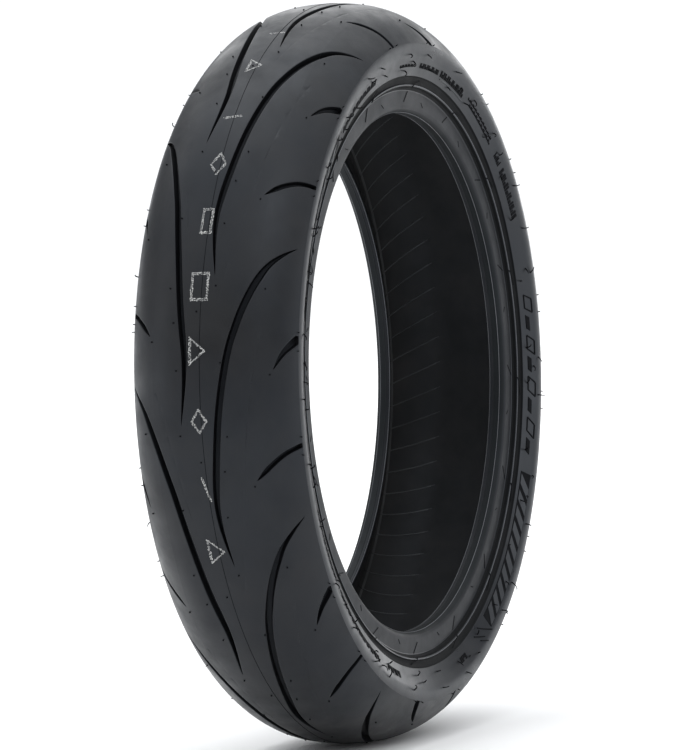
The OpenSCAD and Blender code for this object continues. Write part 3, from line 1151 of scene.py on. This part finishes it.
def wound(name, dark, light, rough, pitch, metal=0.0):
    """Cord or wire laid side by side, seen as fine bands across the tyre's width."""
    made, nodes, links, surface, place = shader(name, dark, rough, metal)
    bands = nodes.new("ShaderNodeTexWave")
    bands.bands_direction = "Y"
    put(bands, {"Scale": 1 / pitch, "Distortion": 0.4})
    links.new(place, bands.inputs["Vector"])
    tone = ramp(nodes, links, bands.outputs["Fac"], [(0.2, dark), (0.8, light)])
    links.new(tone, surface.inputs["Base Color"])
    bump(nodes, links, surface, bands.outputs["Fac"], 0.0002)
    return made


PLY_FABRIC = wound("ply_fabric", (0.02, 0.016, 0.01), (0.09, 0.07, 0.045), 0.7, 0.01)
BRASS_CORD = wound("belt_cord", (0.18, 0.13, 0.05), (0.5, 0.39, 0.18), 0.35, 0.008, 1.0)
BEAD_WIRE = wound("bead_wire", (0.2, 0.15, 0.09), (0.52, 0.42, 0.27), 0.32, 0.008, 1.0)
# What each inner layer of the part is made of, by how its name starts; the rest is skim rubber
INNER_LAYERS = {"breaker": PLY_FABRIC, "carcass": PLY_FABRIC, "belt_cord": BRASS_CORD,
                "bead_wires": BEAD_WIRE}


def paint(piece, material):
    piece.data.materials.clear()
    piece.data.materials.append(material)


def paint_where(piece, material, rule):
    """Gives the faces that a rule picks, from their middles in millimetres, another material."""
    mesh = piece.data
    mesh.materials.append(material)
    middles = np.array([face.center for face in mesh.polygons]) / MM
    index = np.array([face.material_index for face in mesh.polygons])
    index[rule(middles)] = len(mesh.materials) - 1
    mesh.polygons.foreach_set("material_index", index.astype(np.int32))


# Depths from which the grooves take on their painted shade and the ribs their painted highlight
GROOVE_SHOWS = 0.3
RIB_SHOWS = 0.12


def crown_depth(points):
    """How deep each point lies below the tread's smooth crown."""
    r = radius_of(points)
    x = np.abs(points[:, 1])
    on_flank = np.arctan2(x, r - (TYRE_R - CROWN_R1)) > rad(FLANK_A)
    middle = CROWN_R1 - np.hypot(x, r - (TYRE_R - CROWN_R1))
    flank = CROWN_R2 - np.hypot(x - FLANK_C[0], r - FLANK_C[1])
    return np.where(on_flank, flank, middle)


def radius_of(points):
    return np.hypot(points[:, 0], points[:, 2])


def in_groove(points):
    return crown_depth(points) > GROOVE_SHOWS


def in_band(points):
    """The hollow band under the step, and the groove under the rim line, which are given painted shade."""
    r = radius_of(points)
    hollow = (r > RIM_LINE_R + 1.2) & (r < STEP_R - 0.25)
    groove = (r > CHAFER_TOP + 0.4) & (r < RIM_LINE_R - 0.7)
    return (np.abs(points[:, 1]) > wall_x(r) - 2.4) & (hollow | groove)


# The bead seat, which is given painted shade
def on_seat(points):
    x, r = np.abs(points[:, 1]), radius_of(points)
    return (r < SEAT_R + HEEL_R * 0.6) & (x < FACE_X - 0.9) & (x > TOE_X + 3.4)


# The rib tops, which are given a painted highlight
def on_rib(points):
    return (crown_depth(points) > CROWN_T + RIB_SHOWS) & (radius_of(points) > RIB_END_R + RIB_FADE)


# Pieces and their rubber, and which of their faces have another: painted shade in the grooves, the hollow
# band and the bead seat, and a painted highlight on the liner's ribs
FINISHES = [(TREAD, "tread_rubber", (in_groove, "groove_shade_rubber")),
            (SIDEWALLS, "sidewall_rubber", (in_band, "band_shade_rubber")),
            (CHAFERS, "chafer_rubber", (on_seat, "seat_shade_rubber")),
            ([LINER], "liner_rubber", (on_rib, "liner_rib_highlight_rubber")),
            # Pale rings: a painted highlight on the edges
            (EDGE_HIGHLIGHT_RINGS, "edge_line_rubber"),
            # Darker rubber as painted shade on hairs, pips, parting line and dark marks
            (HAIRS + [PIP_PIECE, PARTING] + [dark for dark, pale in MARKS], "mark_rubber"),
            # Lighter rubber as a painted highlight on the pale marks
            ([pale for dark, pale in MARKS], "mark_face_rubber"),
            ([INK], "ink_white")]
for pieces, finish, *parts in FINISHES:
    for piece in pieces:
        paint(piece, RUBBER[finish])
        for rule, other in parts:
            paint_where(piece, RUBBER[other], rule)
for name, layer in frame["nodes"].items():
    fits = [made for start, made in INNER_LAYERS.items() if name.startswith(start)]
    paint(layer, (fits + [RUBBER["skim_rubber"]])[0])

# ---- floor, light and camera
FLOOR_HALF = 60
VIEW_AZ = -67.76
VIEW_EL = 3.99
VIEW_ROLL = -2.62
VIEW_FAR = 6.676
LENS = 379.8
SHIFT = (-0.0095, -0.0023)


def floor():
    """A wide pale floor that the tyre stands on."""
    mesh = bpy.data.meshes.new("floor")
    z = -TYRE_R * MM
    corners = [(x * FLOOR_HALF, y * FLOOR_HALF, z) for x, y in ((-1, -1), (1, -1), (1, 1), (-1, 1))]
    mesh.from_pydata(corners, [], [(0, 1, 2, 3)])
    ground = in_scene("floor", mesh)
    made, nodes, links, surface, place = shader("floor_paper", (0.95, 0.95, 0.95), 0.9)
    links.new(ramp(nodes, links, noise(nodes, links, place, 3), [(0.3, 0.95), (0.7, 0.98)]),
              surface.inputs["Base Color"])
    mesh.materials.append(made)


def light(name, place, size, power):
    """A soft lamp that faces the tyre's middle."""
    lamp = bpy.data.lights.new(name, "AREA")
    lamp.shape = "RECTANGLE"
    lamp.size, lamp.size_y = size
    lamp.energy = power
    thing = in_scene(name, lamp)
    thing.location = place
    thing.rotation_euler = (-Vector(place)).to_track_quat("-Z", "Y").to_euler()


def camera():
    az, el, roll = rad(VIEW_AZ), rad(VIEW_EL), rad(VIEW_ROLL)
    back = Vector((math.sin(az) * math.cos(el), -math.cos(az) * math.cos(el), math.sin(el)))
    level = Vector((math.cos(az), math.sin(az), 0))
    up = back.cross(level)
    x_axis = math.cos(roll) * level + math.sin(roll) * up
    y_axis = math.cos(roll) * up - math.sin(roll) * level
    lens = bpy.data.cameras.new("camera")
    lens.lens = LENS
    lens.shift_x, lens.shift_y = SHIFT
    eye = in_scene("camera", lens)
    turn = Matrix((x_axis, y_axis, back)).transposed().to_4x4()
    eye.matrix_world = Matrix.Translation(back * VIEW_FAR) @ turn
    bpy.context.scene.camera = eye


def studio():
    """A soft grey room with a bright horizon that gets brighter overhead."""
    world = bpy.data.worlds.new("studio")
    world.use_nodes = True
    nodes, links = world.node_tree.nodes, world.node_tree.links
    way = nodes.new("ShaderNodeTexCoord")
    parts = nodes.new("ShaderNodeSeparateXYZ")
    links.new(way.outputs["Generated"], parts.inputs["Vector"])
    shade = ramp(nodes, links, parts.outputs["Z"],
                 [(0.04, (0.95, 0.97, 1.0)), (0.085, (0.13, 0.137, 0.148)), (0.28, (0.17, 0.178, 0.19)),
                  (0.66, (0.97, 0.985, 1.0))])
    links.new(shade, nodes["Background"].inputs["Color"])
    nodes["Background"].inputs["Strength"].default_value = 1.45
    bpy.context.scene.world = world


floor()
camera()
LIGHTS = [("key", (-2.6, -3.2, 3.4), (2.5, 2.5), 25), ("top", (0.6, 0.4, 3.6), (3.0, 3.0), 30),
          ("front", (1.6, -5.0, 0.8), (3.4, 1.8), 40), ("back", (5.2, -0.2, 0.7), (2.2, 1.6), 30),
          ("crest", (4.6, 2.0, 2.1), (3.0, 1.8), 30), ("far", (-2.4, 4.6, 1.2), (2.6, 2.4), 18)]
for lamp in LIGHTS:
    light(*lamp)
studio()
bpy.context.scene.view_settings.view_transform = "Standard"
